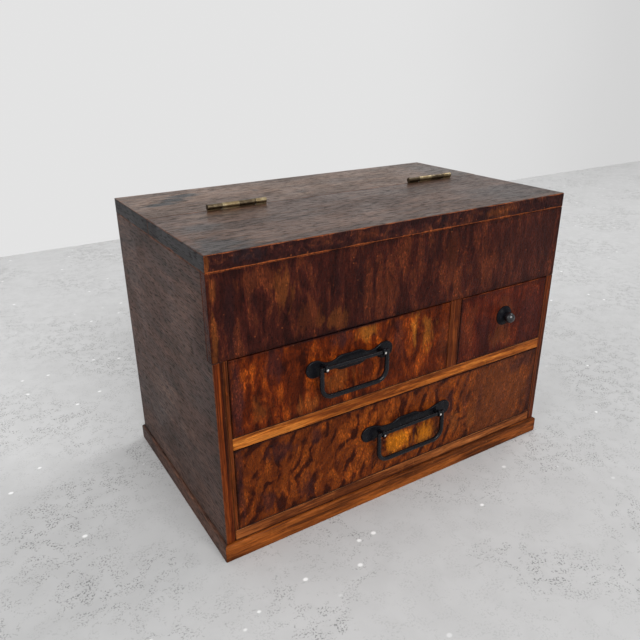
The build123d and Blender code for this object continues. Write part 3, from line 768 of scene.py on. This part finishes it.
LOWER_DRAWER_LACQUER = replace(
    PANEL_LACQUER,
    name="drawer_lacquer",
    deep=(0.0338, 0.00556, 0.00157), body=(0.134, 0.0256, 0.0034), glow=(0.258, 0.0581, 0.00628),
    figure=(45, 30, 22), seed=(1.3, 8.2, 2.9), curl=1.8, stripes=0.8, stripe_way=(66, 0, -36),
    waver=3.0,
    patches=(
        mark(278, 60, 60, 70, (0.128, 0.033, 0.0085), 0.8, 1.2),
        mark(14, 60, 4, 36, PLUM, 0.7, 1.8),
        mark(48, 80, 14, 10, PLUM, 0.7, 2.4),
        mark(40.3, 86.8, 1.6, 1.6, DARK_MARK_AND_SHADE, 0.9, 0.5),
        mark(78, 82, 7, 11, PLUM, 0.6, 2.4),
        mark(36, 38, 12, 12, PLUM, 0.7, 2.4),
        mark(70, 38, 8, 16, PLUM, 0.5, 2.4),
        mark(160, 48, 17, 13, AMBER_GLOW, 1.0, 1.5),
        mark(188, 46, 13, 14, AMBER_GLOW, 1.0, 1.7),
        mark(140, 45, 7, 14, RUST, 0.5, 2.2),
        mark(176, 50, 1.8, 12, PLUM, 0.75, 1.4),
        mark(215, 62, 5, 20, PLUM, 0.5, 2.2),
        mark(234, 66, 4, 24, PLUM, 0.5, 2.2),
        mark(252, 60, 4, 26, PLUM, 0.4, 2.2),
        mark(222, 45, 6, 18, ORANGE, 0.4, 2.8),
        mark(243, 40, 6, 18, ORANGE, 0.4, 2.8),
        mark(300, 84, 24, 9, PLUM, 0.6, 2.2),
        mark(282, 52, 8, 26, RUST, 0.4, 2.6),
        mark(318, 50, 5, 26, PLUM, 0.45, 2.0),
        # Painted shade: dark lines along the drawer's top, bottom and left edges, in the gaps round
        # it.
        mark(165, 93.2, 500, 1.6, DARK_MARK_AND_SHADE, 0.8, 0.3),
        mark(165, 24.3, 500, 1.3, DARK_MARK_AND_SHADE, 0.6, 0.3),
        mark(11.2, 60, 1.2, 100, DARK_MARK_AND_SHADE, 0.7, 0.4),
    ),
)
RAIL_LACQUER = WoodFinish(
    "rail_lacquer",
    deep=(0.193, 0.0441, 0.00602), body=(0.53, 0.149, 0.0201), glow=(0.746, 0.257, 0.0421),
    worn=(0.60, 0.23, 0.06), figure=(9, 30, 150), flow=(70, 200, 200), curl=0.4, streaks=0.3,
    grain_depth=0.5, wear_width=0.7, wear_share=0.6, grime=0.25, flecks=0.25, roughness=0.4,
    gloss=0.08, rim=0.4,
)
DIVIDER_LACQUER = replace(
    RAIL_LACQUER,
    name="divider_lacquer",
    grain=Grain.ALONG_Z, deep=(0.0605, 0.0111, 0.0021), body=(0.151, 0.0304, 0.00455),
    glow=(0.238, 0.0587, 0.0098), worn=(0.24, 0.070, 0.020), figure=(110, 30, 9),
    flow=(200, 200, 70),
)
STILE_LACQUER = replace(
    DIVIDER_LACQUER,
    name="stile_lacquer",
    deep=(0.0283, 0.00435, 0.0009), body=(0.167, 0.0272, 0.0033), glow=(0.322, 0.0674, 0.0084),
    figure=(340, 60, 6), wear_width=1.0, streaks=0.4,
    patches=(
        mark(1, 90, 2.5, 100, RUST, 0.3, 1.0),
        mark(9, 90, 4, 100, ORANGE, 0.35, 1.0),
        mark(327, 90, 7, 100, (0.070, 0.026, 0.012), 0.35, 0.8),
    ),
)
GUIDE_LACQUER = replace(
    STILE_LACQUER,
    name="guide_lacquer",
    deep=(0.034, 0.0052, 0.0011), body=(0.198, 0.0325, 0.0039), glow=(0.370, 0.079, 0.0095),
    seed=(2.2, 0.0, 1.1),
)
BOTTOM_LACQUER = replace(
    RAIL_LACQUER,
    name="bottom_lacquer",
    deep=(0.128, 0.0315, 0.00745), body=(0.327, 0.0944, 0.0213), glow=(0.466, 0.157, 0.0404),
    # Painted shade: a dark line along the board's lower edge, in the crease above the plinth.
    patches=(Patch((0, FRONT_Y, 14.5), (ALL_ALONG, THROUGH, 1.9), DARK_MARK_AND_SHADE, 0.8, 0.2),),
)
PLINTH_LACQUER = replace(
    BOTTOM_LACQUER,
    name="plinth_lacquer",
    deep=(0.105, 0.0261, 0.0042), body=(0.292, 0.0737, 0.0109), glow=(0.42, 0.119, 0.0193),
    seed=(4.4, 0.2, 6.1),
    patches=(),
)
PLINTH_SIDE_LACQUER = replace(
    SIDE_LACQUER,
    name="plinth_side_lacquer",
    deep=(0.050, 0.021, 0.013), body=(0.105, 0.043, 0.026), glow=(0.150, 0.066, 0.038),
    patches=(),
)
BARE_WOOD = WoodFinish(
    "bare_wood",
    deep=(0.29, 0.160, 0.088), body=(0.41, 0.240, 0.136), glow=(0.50, 0.310, 0.186),
    worn=(0.46, 0.29, 0.18), figure=(6, 20, 60), tones=(0.0, 0.5, 1.0), curl=0.4, streaks=0.15,
    grain_depth=0.5, pore_depth=0.4, wear_width=0.5, wear_share=0.3, grime=0.25, roughness=0.66,
    gloss=0.3, chips=0, flecks=0.1,
    patches=(Patch((0, FRONT_Y, 120), (ALL_ALONG, 8, ALL_ALONG), (0.050, 0.016, 0.008), 1.0, 0.3),),
)
IRON = MetalFinish(
    "iron",
    body=(0.0045, 0.0045, 0.006), rubbed=(0.010, 0.010, 0.013), dull=(0.003, 0.0028, 0.003),
    metallic=0.0, roughness=0.30, gloss=0.12,
)
BRASS = MetalFinish(
    "brass",
    body=(0.21, 0.155, 0.082), rubbed=(0.50, 0.42, 0.26), dull=(0.06, 0.042, 0.025), metallic=1.0,
    roughness=0.42, cell_scale=900, relief=0.15,
)
DARK_BRASS = replace(
    BRASS,
    name="dark_brass",
    body=(0.085, 0.062, 0.038), rubbed=(0.22, 0.17, 0.10), dull=(0.035, 0.026, 0.018),
)
PLATE_IRON = replace(IRON, name="plate_iron", relief=0.6)
EYE_IRON = replace(IRON, name="eye_iron")
BAIL_IRON = replace(IRON, name="bail_iron", roughness=0.26, gloss=0.2, relief=0.25)
ROSETTE_IRON = replace(IRON, name="rosette_iron", gloss=0.05)
KNOB_IRON = replace(IRON, name="knob_iron", roughness=0.32, gloss=0.7, relief=0.15)


# ---------------------------------------------------------------- making and placing pieces


FLAT_ANGLE = math.radians(0.5)
CORNER_ANGLE = math.radians(40)
FACING = 0.72


class Side(Enum):
    """A side of a board, by the way it looks."""

    FRONT = (0, -1, 0)
    BACK = (0, 1, 0)
    LEFT = (-1, 0, 0)
    RIGHT = (1, 0, 0)
    TOP = (0, 0, 1)
    UNDER = (0, 0, -1)


def rounded(shape: Shape, edges: list, radius: float, segments: int) -> None:
    """Bevel the edges of a shape into a rounding with so many facets."""
    settings = {"offset_type": "OFFSET", "profile": 0.5, "affect": "EDGES", "material": -1}
    bmesh.ops.bevel(
        shape, geom=edges, offset=radius * MM, segments=segments, clamp_overlap=True, **settings
    )


def softened(node: str, radius: float, segments: int = 2) -> Shape:
    """Copy a solid and round its outward corners.

    Args:
        node: The solid's name.
        radius: The rounding, in millimetres.
        segments: How many facets the rounding has.

    Returns:
        The rounded copy.
    """
    shape = bmesh.new()
    shape.from_mesh(frame["nodes"][node].data)
    bmesh.ops.remove_doubles(shape, verts=shape.verts[:], dist=WELD)
    bmesh.ops.dissolve_limit(
        shape, angle_limit=FLAT_ANGLE, verts=shape.verts[:], edges=shape.edges[:]
    )
    corners = [
        edge
        for edge in shape.edges
        if edge.is_manifold and edge.is_convex and edge.calc_face_angle() > CORNER_ANGLE
    ]
    rounded(shape, corners, radius, segments)
    return shape


def body_of(node: str) -> str:
    """Name the body that a solid moves with."""
    return next(body for body, nodes in BODIES.items() if node in nodes)


def place_piece(
    shape: Shape, name: str, nodes: list[str], slot: str, finish: Material, corner: float = 35
) -> Piece:
    """Turn a finished shape into a piece of the chest that stands for its solids.

    Args:
        shape: The shape, in metres, where it belongs.
        name: The piece's name.
        nodes: The solids it stands for, all on one body.
        slot: The record's material slot. Not used.
        finish: Its material.
        corner: The angle in degrees past which an edge stays crisp.

    Returns:
        The new object.
    """
    mesh = bpy.data.meshes.new(name)
    shape.to_mesh(mesh)
    shape.free()
    mesh.shade_smooth()
    mesh.set_sharp_from_angle(angle=math.radians(corner))
    mesh.materials.append(finish)
    piece = bpy.data.objects.new(name, mesh)
    bpy.context.scene.collection.objects.link(piece)
    even = piece.modifiers.new("even_shading", "WEIGHTED_NORMAL")
    even.keep_sharp = True
    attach(piece, body_of(nodes[0]))
    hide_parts(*nodes)
    LOG.info("piece %s: %d faces", name, len(mesh.polygons))
    return piece


def place_fitting(
    shape: Shape, node: str, finish: MetalFinish, slot: str = "iron", corner: float = 35
) -> Piece:
    """Place and dress a metal fitting that stands for one solid."""
    return place_piece(shape, f"{node}_{slot}", [node], slot, finish.material(node), corner)


@dataclass
class Board:
    """One board of the chest, with a finish of its own on each side that needs one."""

    node: str
    finish: WoodFinish
    slot: str
    sides: dict[Side, WoodFinish] = field(default_factory=dict)
    corner_radius: float = 0.45

    def build(self) -> Piece:
        """Make the board and dress it.

        Returns:
            The board's object.
        """
        low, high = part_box(self.node)
        shape = softened(self.node, self.corner_radius)
        finish = self.finish.material(self.node, low, high)
        board = place_piece(shape, f"{self.node}_board", [self.node], self.slot, finish)
        self.dress(board, low, high)
        return board

    def dress(self, board: Piece, low: Vector, high: Vector) -> None:
        """Give each face the finish of the side that it looks to.

        Args:
            board: The board's object, in its main finish.
            low: The board's lowest corner, in metres.
            high: Its highest corner.
        """
        finishes = board.data.materials
        for side, finish in self.sides.items():
            finishes.append(finish.material(f"{self.node}_{side.name.lower()}", low, high))
            way = Vector(side.value)
            for face in board.data.polygons:
                if face.normal.dot(way) > FACING:
                    face.material_index = len(finishes) - 1


@dataclass
class Carcass:
    """The case: its sides, rails, panels and the low plinth it stands on."""

    radius: float = 0.8

    def boards(self) -> list[Board]:
        """List the case's boards with their finishes.

        Returns:
            The boards, in the order in which they are made.
        """
        far_side = replace(SIDE_LACQUER, seed=(2.2, 3.3, 1.1))
        left = {Side.FRONT: STILE_LACQUER, Side.RIGHT: BARE_WOOD}
        right = {Side.FRONT: STILE_LACQUER, Side.LEFT: BARE_WOOD}
        ends = {Side.LEFT: LID_SIDE_LACQUER, Side.RIGHT: LID_SIDE_LACQUER}
        level = {Side.TOP: BARE_WOOD, Side.UNDER: BARE_WOOD}
        rear = {Side.UNDER: BARE_WOOD, **ends}
        return [
            Board("side_left", SIDE_LACQUER, "case_wood", left, self.radius),
            Board("side_right", far_side, "case_wood", right, self.radius),
            Board("front_panel", PANEL_LACQUER, "front_wood", {Side.BACK: BARE_WOOD}, self.radius),
            Board("drawer_shelf", RAIL_LACQUER, "rail_wood", level),
            Board("drawer_divider", DIVIDER_LACQUER, "rail_wood"),
            Board("left_guide_strip", GUIDE_LACQUER, "rail_wood"),
            Board("bottom_board", BOTTOM_LACQUER, "rail_wood", level),
            Board("compartment_floor", BARE_WOOD, "inner_wood"),
            Board("back_panel", SIDE_LACQUER, "inner_wood", {Side.FRONT: BARE_WOOD}),
            Board("rear_top_board", REAR_TOP_LACQUER, "case_wood", rear, self.radius),
            Board("plinth_front", PLINTH_LACQUER, "plinth_wood"),
            Board("plinth_back", PLINTH_SIDE_LACQUER, "plinth_wood"),
            Board("plinth_left", PLINTH_SIDE_LACQUER, "plinth_wood"),
            Board("plinth_right", PLINTH_SIDE_LACQUER, "plinth_wood"),
        ]

    def build(self) -> list[Piece]:
        """Make every board of the case."""
        return [board.build() for board in self.boards()]


@dataclass
class Lid:
    """The front part of the top, which lifts on two hinges."""

    radius: float = 0.8

    def build(self) -> Piece:
        """Make the lid.

        Returns:
            The lid's object.
        """
        sides = {
            Side.FRONT: LID_FRONT_LACQUER,
            Side.LEFT: LID_SIDE_LACQUER,
            Side.RIGHT: LID_SIDE_LACQUER,
            Side.UNDER: BARE_WOOD,
        }
        return Board("lid_board", TOP_LACQUER, "case_wood", sides, self.radius).build()


@dataclass
class Drawer:
    """A drawer: a figured front on a box of bare boards."""

    name: str
    finish: WoodFinish
    front_radius: float = 0.5
    board_radius: float = 0.35

    def build(self) -> list[Piece]:
        """Make the drawer's five boards.

        Returns:
            The boards' objects.
        """
        node, back = f"{self.name}_front", {Side.BACK: BARE_WOOD}
        boards = [Board(node, self.finish, "front_wood", back, self.front_radius)]
        for part in ("left_side", "right_side", "back", "bottom"):
            node = f"{self.name}_{part}"
            boards.append(Board(node, BARE_WOOD, "inner_wood", {}, self.board_radius))
        return [board.build() for board in boards]


def open_edges(ring: Ring) -> list[bmesh.types.BMEdge]:
    """Find the edges round the open end of a swept section."""
    edges = (edge for vert in ring for edge in vert.link_edges)
    return list(dict.fromkeys(edge for edge in edges if edge.is_boundary or edge.is_wire))


def verts_of(parts: list) -> Ring:
    """Keep the corners among the parts that an operator made."""
    return [part for part in parts if isinstance(part, bmesh.types.BMVert)]


@dataclass
class DropPull:
    """An iron drop pull: a scalloped backplate, two clenched eyes and a closed bail."""

    name: str
    centre: tuple[float, float]
    bail_width: float
    bail_drop: float
    eye_spacing: float
    standoff: float = 7.0
    eye_reach: float = 9.4
    # The size of the painted highlight on each eye.
    glint_size: Triple = (1.3, 0.9, 1.2)
    plate_rounding: float = 0.2
    eye_rounding: float = 0.5
    bail_radius: float = 1.9
    top_radius: float = 1.6
    bar_radius: float = 1.5
    corner: float = 9.0
    taper_share: float = 0.4
    end_rounding: float = 0.7
    round_steps: int = 20
    corner_steps: int = 10

    def build(self) -> list[Piece]:
        """Make and dress the pull's three pieces."""
        return [self.build_plate(), self.build_eyes(), self.build_bail()]

    def build_plate(self) -> Piece:
        """Make the backplate from its solid, with softer rims."""
        node = f"{self.name}_plate"
        return place_fitting(softened(node, self.plate_rounding), node, PLATE_IRON)

    def build_eyes(self) -> Piece:
        """Make the eyes from their solids, with rounded straps and a painted highlight, a pale
        spot, on the front of each.

        Returns:
            The object of both eyes.
        """
        node = f"{self.name}_eyes"
        x, z = self.centre
        # Painted highlight: a pale spot on the front of each eye.
        painted_glints = tuple(
            Patch((x + reach, FRONT_Y - self.eye_reach, z), self.glint_size, PAINTED_GLINT, 0.9, 1.2)
            for reach in (-self.eye_spacing / 2, self.eye_spacing / 2)
        )
        shape = softened(node, self.eye_rounding, 3)
        return place_fitting(shape, node, replace(EYE_IRON, painted_glints=painted_glints))

    def build_bail(self) -> Piece:
        """Sweep the bail down one arm, round two corners and up the other, then add its bar.

        Returns:
            The bail's object.
        """
        node = f"{self.name}_bail"
        shape = bmesh.new()
        pivot = Vector((self.centre[0], FRONT_Y - self.standoff, self.centre[1]))
        half, low = self.bail_width / 2, self.corner - self.bail_drop
        straight = self.bail_drop + self.bail_radius - self.corner
        slim, even = self.taper_share * straight, (1 - self.taper_share) * straight
        made = bmesh.ops.create_circle(
            shape, segments=self.round_steps, radius=self.top_radius * MM
        )
        ring = made["verts"]
        start = pivot + Vector((-half, 0, self.bail_radius))
        bmesh.ops.translate(shape, vec=start * MM, verts=ring)
        ring = self.run(shape, ring, (0, 0, -slim), self.bail_radius / self.top_radius)
        ring = self.run(shape, ring, (0, 0, -even))
        ring = self.turn(shape, ring, pivot + Vector((self.corner - half, 0, low)))
        ring = self.run(shape, ring, (2 * (half - self.corner), 0, 0))
        ring = self.turn(shape, ring, pivot + Vector((half - self.corner, 0, low)))
        ring = self.run(shape, ring, (0, 0, even))
        self.run(shape, ring, (0, 0, slim), self.top_radius / self.bail_radius)
        ends = [edge for edge in shape.edges if edge.is_boundary]
        bmesh.ops.holes_fill(shape, edges=ends, sides=0)
        rims = [edge for face in shape.faces if len(face.verts) > 4 for edge in face.edges]
        rounded(shape, rims, self.end_rounding, 3)
        bmesh.ops.create_cone(
            shape,
            segments=self.round_steps,
            radius1=self.bar_radius * MM,
            radius2=self.bar_radius * MM,
            depth=self.bail_width * MM,
            matrix=Matrix.Translation(pivot * MM) @ Matrix.Rotation(math.pi / 2, 4, "Y"),
        )
        bmesh.ops.recalc_face_normals(shape, faces=shape.faces[:])
        return place_fitting(shape, node, BAIL_IRON, corner=50)

    def run(self, shape: Shape, ring: Ring, step: Triple, swell: float = 1) -> Ring:
        """Carry the bail's round section along a straight stretch.

        Args:
            shape: The bail's mesh.
            ring: The section so far.
            step: The way along.
            swell: How much thicker the section gets on the way.

        Returns:
            The new section.
        """
        grown = bmesh.ops.extrude_edge_only(shape, edges=open_edges(ring))
        fresh = verts_of(grown["geom"])
        bmesh.ops.translate(shape, vec=Vector(step) * MM, verts=fresh)
        middle = sum((vert.co for vert in fresh), Vector()) / len(fresh)
        space = Matrix.Translation(-middle)
        bmesh.ops.scale(shape, vec=(swell,) * 3, space=space, verts=fresh)
        return fresh

    def turn(self, shape: Shape, ring: Ring, hub: Vector) -> Ring:
        """Carry the bail's round section round a corner.

        Args:
            shape: The bail's mesh.
            ring: The section so far.
            hub: The corner's centre.

        Returns:
            The new section.
        """
        spun = bmesh.ops.spin(
            shape,
            geom=open_edges(ring),
            cent=hub * MM,
            axis=(0, -1, 0),
            angle=math.pi / 2,
            steps=self.corner_steps,
        )
        return verts_of(spun["geom_last"])


@dataclass
class Knob:
    """The small drawer's turned iron knob on its coned rosette.

    The profiles are pairs of reach from the drawer's face and radius.
    """

    centre: tuple[float, float] = (106.3, 137.7)
    round_steps: int = 48
    rosette_profile: Profile = (
        (0.0, 1.6), (0.0, 8.8), (0.5, 8.8), (0.9, 8.55), (1.1, 8.1), (1.05, 7.7),
        (1.3, 7.3), (1.9, 6.5), (2.4, 5.5), (2.7, 4.7), (3.0, 4.1), (3.0, 1.6),
    )
    knob_profile: Profile = (
        (-11.0, 0.0), (-11.0, 2.8), (-10.8, 3.0), (-10.0, 3.0), (-10.0, 1.5), (3.0, 1.5),
        (3.0, 3.5), (3.3, 3.45), (3.7, 3.8), (4.4, 4.25), (5.4, 4.6), (6.5, 4.7),
        (7.6, 4.6), (8.8, 4.15), (9.8, 3.4), (10.6, 2.3), (11.05, 1.15), (11.2, 0.0),
    )

    def turned(self, profile: Profile) -> Shape:
        """Spin a profile about the knob's axis.

        Args:
            profile: The profile. One that starts on the axis ends on it, others are closed.

        Returns:
            The closed turned shape.
        """
        shape = bmesh.new()
        x, z = self.centre
        verts = [
            shape.verts.new(Vector((x, FRONT_Y - reach, z + radius)) * MM)
            for reach, radius in profile
        ]
        edges = [shape.edges.new(ends) for ends in zip(verts, verts[1:])]
        if profile[0][1] > 0:
            edges.append(shape.edges.new((verts[-1], verts[0])))
        bmesh.ops.spin(
            shape,
            geom=[*verts, *edges],
            cent=Vector((x, 0, z)) * MM,
            axis=(0, 1, 0),
            angle=math.tau,
            steps=self.round_steps,
            use_merge=True,
        )
        bmesh.ops.remove_doubles(shape, verts=shape.verts[:], dist=WELD)
        bmesh.ops.recalc_face_normals(shape, faces=shape.faces[:])
        return shape

    def build(self) -> list[Piece]:
        """Make the rosette and the knob."""
        rosette = place_fitting(self.turned(self.rosette_profile), "knob_rosette", ROSETTE_IRON)
        return [rosette, place_fitting(self.turned(self.knob_profile), "knob", KNOB_IRON)]


@dataclass
class ButtHinge:
    """A brass butt hinge between the lid and the board behind it."""

    name: str
    edge_radius: float = 0.22

    def build(self) -> list[Piece]:
        """Make the hinge's two leaves and its pin.

        Returns:
            The hinge's pieces.
        """
        pieces = []
        for part, finish in {"case_leaf": DARK_BRASS, "lid_leaf": BRASS, "pin": DARK_BRASS}.items():
            node = f"{self.name}_hinge_{part}"
            pieces.append(place_fitting(softened(node, self.edge_radius), node, finish, "brass"))
        return pieces


def dress_screws() -> None:
    """Give the hinge screws their finish. Their solids stay as they are."""
    for node in ("case_hinge_screws", "lid_hinge_screws"):
        mesh = frame["nodes"][node].data
        mesh.materials.clear()
        mesh.materials.append(DARK_BRASS.material(node))
        LOG.info("dressed %s", node)


# ---------------------------------------------------------------- floor, wall, lamps and camera


@dataclass
class Lamp:
    """A soft square lamp that looks at the chest."""

    name: str
    place: Triple
    width: float
    watts: float
    aim: Triple = (0, 0, 0.1)

    def build(self) -> None:
        """Hang the lamp and turn it to its aim."""
        light = bpy.data.lights.new(self.name, "AREA")
        light.size = self.width
        light.energy = self.watts
        lamp = bpy.data.objects.new(self.name, light)
        lamp.location = self.place
        way = Vector(self.aim) - Vector(self.place)
        lamp.rotation_mode = "QUATERNION"
        lamp.rotation_quaternion = way.to_track_quat("-Z", "Y")
        bpy.context.scene.collection.objects.link(lamp)


@dataclass
class Studio:
    """The pale floor and wall, the lamps and the camera. Lengths are in metres."""

    wall_y: float = 0.84
    floor_reach: float = 6.0
    # Painted light: the floor's tone runs from floor_near to floor_far, paler towards the wall.
    floor_fade: tuple[float, float] = (-0.5, 0.5)
    floor_near: float = 0.475
    floor_far: float = 0.60
    floor_pock: float = 0.13
    floor_speck: float = 0.9
    mottle: float = 40
    mottle_depth: float = 0.025
    # Painted light: the wall glows to the camera and in reflections, brighter on the left than on
    # the right.
    wall_fade: tuple[float, float] = (0.7, 1.9)
    wall_left: float = 0.77
    wall_right: float = 0.65
    air_light: float = 0.45
    air_tone: Colour = (0.84, 0.86, 0.87)
    camera_place: Triple = (-0.29758, -0.43976, 0.35074)
    camera_azimuth: float = -31.8173
    camera_elevation: float = 23.0824
    camera_roll: float = -0.4373
    camera_lens: float = 35.4545
    camera_sensor: float = 36
    lamps: tuple[Lamp, ...] = (
        Lamp("window", (2.0, 0.5, 2.7), 1.6, 46),
        Lamp("front_fill", (-0.1, -1.9, 1.3), 1.4, 39),
        Lamp("left_fill", (-1.9, -0.2, 1.2), 1.4, 13),
    )

    def build(self) -> None:
        """Lay the floor, stand the wall, hang the lamps and set up the camera."""
        self.build_ground("floor", self.plaster(), (0, 0, 0), 0)
        self.build_ground("wall", self.limewash_and_glow(), (0, self.wall_y, 0), math.pi / 2)
        for lamp in self.lamps:
            lamp.build()
        self.light_world()
        self.build_camera()

    def build_ground(self, name: str, finish: Material, place: Triple, turn: float) -> None:
        """Lay a large plane.

        Args:
            name: The plane's name.
            finish: Its material.
            place: A point on it.
            turn: How far it is tipped back, in radians.
        """
        shape = bmesh.new()
        spread = Matrix.Translation(Vector(place)) @ Matrix.Rotation(turn, 4, "X")
        bmesh.ops.create_grid(
            shape, x_segments=8, y_segments=8, size=self.floor_reach, matrix=spread
        )
        mesh = bpy.data.meshes.new(name)
        shape.to_mesh(mesh)
        shape.free()
        plane = bpy.data.objects.new(name, mesh)
        bpy.context.scene.collection.objects.link(plane)
        mesh.materials.append(finish)
        LOG.info("stage %s", name)

    def plaster(self) -> Material:
        """Make the floor's finish: mottled, pocked and chipped, with painted light that makes it
        paler towards the wall.

        Returns:
            The material.
        """
        made, pen, place = blank_material("floor_plaster")
        depth = pen.node("ShaderNodeSeparateXYZ", {0: place}).outputs[1]
        # Painted light: paler towards the wall.
        far = pen.step(depth, *self.floor_fade)
        tone = pen.mix(far, (self.floor_near,) * 3, (self.floor_far,) * 3)
        cloud = pen.step(pen.noise(place, self.mottle, 5, 0.6), 0.34, 0.66)
        tone = pen.mix(cloud, pen.mix(2 * self.mottle_depth, tone, (0, 0, 0)), tone)
        fine = pen.noise(place, 95, 5, 0.8)
        grit = pen.step(pen.noise(place, 680, 3, 0.4), 0.52, 0.6)
        spread = pen.step(pen.noise(place, 9, 3), 0.42, 0.62)
        pocks = pen.times(grit, pen.step(fine, 0.46, 0.56))
        pocks = pen.times(pocks, pen.plus(pen.times(spread, 0.55), 0.15))
        tone = pen.mix(pocks, tone, (self.floor_pock,) * 3)
        sparse = pen.vector("MULTIPLY", place, (0.3, 0.36, 0.3))
        specks = pen.times(pen.pattern(Handling, sparse)["Chips"], 0.9)
        tone = pen.mix(specks, tone, (self.floor_speck,) * 3)
        feeds = {"Base Color": tone, "Roughness": 0.7, "Specular IOR Level": 0.12}
        pen.surface(feeds, fine, 0.25, FLOOR_BUMP)
        return made

    def limewash_and_glow(self) -> Material:
        """Make the wall's finish. To the camera and in reflections it glows with painted light,
        brighter on the left than on the right.

        Returns:
            The material.
        """
        made, pen, place = blank_material("wall_limewash")
        across = pen.node("ShaderNodeSeparateXYZ", {0: place}).outputs[0]
        cloud = pen.times(pen.noise(place, 2.2, 3, 0.3), 0.25)
        # Painted light: the glow fades from the left tone to the right one.
        share = pen.step(pen.plus(across, cloud), *self.wall_fade)
        tone = pen.mix(share, (self.wall_left,) * 3, (self.wall_right,) * 3)
        path = pen.node("ShaderNodeLightPath").outputs
        seen = pen.math("MAXIMUM", path["Is Camera Ray"], path["Is Glossy Ray"])
        plain = pen.node("ShaderNodeBsdfDiffuse", {"Color": tone}).outputs[0]
        shown = pen.node("ShaderNodeEmission", {"Color": tone}).outputs[0]
        both = pen.node("ShaderNodeMixShader", {0: seen, 1: plain, 2: shown})
        pen.node("ShaderNodeOutputMaterial", {"Surface": both.outputs[0]})
        return made

    def light_world(self) -> None:
        """Set a dim even glow all round, shown to the camera as a pale background."""
        world = bpy.data.worlds.new("studio_air")
        bpy.context.scene.world = world
        world.use_nodes = True
        world.node_tree.nodes.clear()
        pen = Pen(world.node_tree)
        seen = pen.node("ShaderNodeLightPath").outputs["Is Camera Ray"]
        glow, shown = (
            pen.node("ShaderNodeBackground", {"Color": tone, "Strength": strength}).outputs[0]
            for tone, strength in (((1.0, 1.0, 1.0), self.air_light), (self.air_tone, 1.0))
        )
        both = pen.node("ShaderNodeMixShader", {0: seen, 1: glow, 2: shown})
        pen.node("ShaderNodeOutputWorld", {"Surface": both.outputs[0]})

    def build_camera(self) -> None:
        """Place the camera at its measured viewpoint."""
        azimuth = Matrix.Rotation(math.radians(self.camera_azimuth), 4, "Z")
        elevation = Matrix.Rotation(math.radians(90 - self.camera_elevation), 4, "X")
        roll = Matrix.Rotation(math.radians(self.camera_roll), 4, "Z")
        lens = bpy.data.cameras.new("camera")
        lens.lens = self.camera_lens
        lens.sensor_width = self.camera_sensor
        lens.clip_start = 0.01
        camera = bpy.data.objects.new("camera", lens)
        camera.matrix_world = (
            Matrix.Translation(self.camera_place) @ azimuth @ elevation @ roll
        )
        bpy.context.scene.collection.objects.link(camera)
        bpy.context.scene.camera = camera


def main() -> None:
    """Build the studio and the chest."""
    logging.basicConfig(level=logging.INFO, format="%(name)s: %(message)s", stream=sys.stdout)
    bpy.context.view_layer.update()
    bpy.context.scene.view_settings.view_transform = "Standard"
    Studio().build()
    assemblies = [
        Carcass(),
        Lid(),
        Drawer("lower_drawer", LOWER_DRAWER_LACQUER),
        Drawer("left_drawer", UPPER_DRAWER_LACQUER),
        Drawer("right_drawer", SMALL_DRAWER_LACQUER),
        DropPull("left_pull", (-56.15, 141.0), 58.6, 23.6, 51.8),
        DropPull("lower_pull", (1.85, 66.8), 66.8, 25.0, 59.0),
        Knob(),
        ButtHinge("left"),
        ButtHinge("right"),
    ]
    for assembly in assemblies:
        assembly.build()
        LOG.info("built %s", assembly)
    dress_screws()


if __name__ == "__main__":
    main()
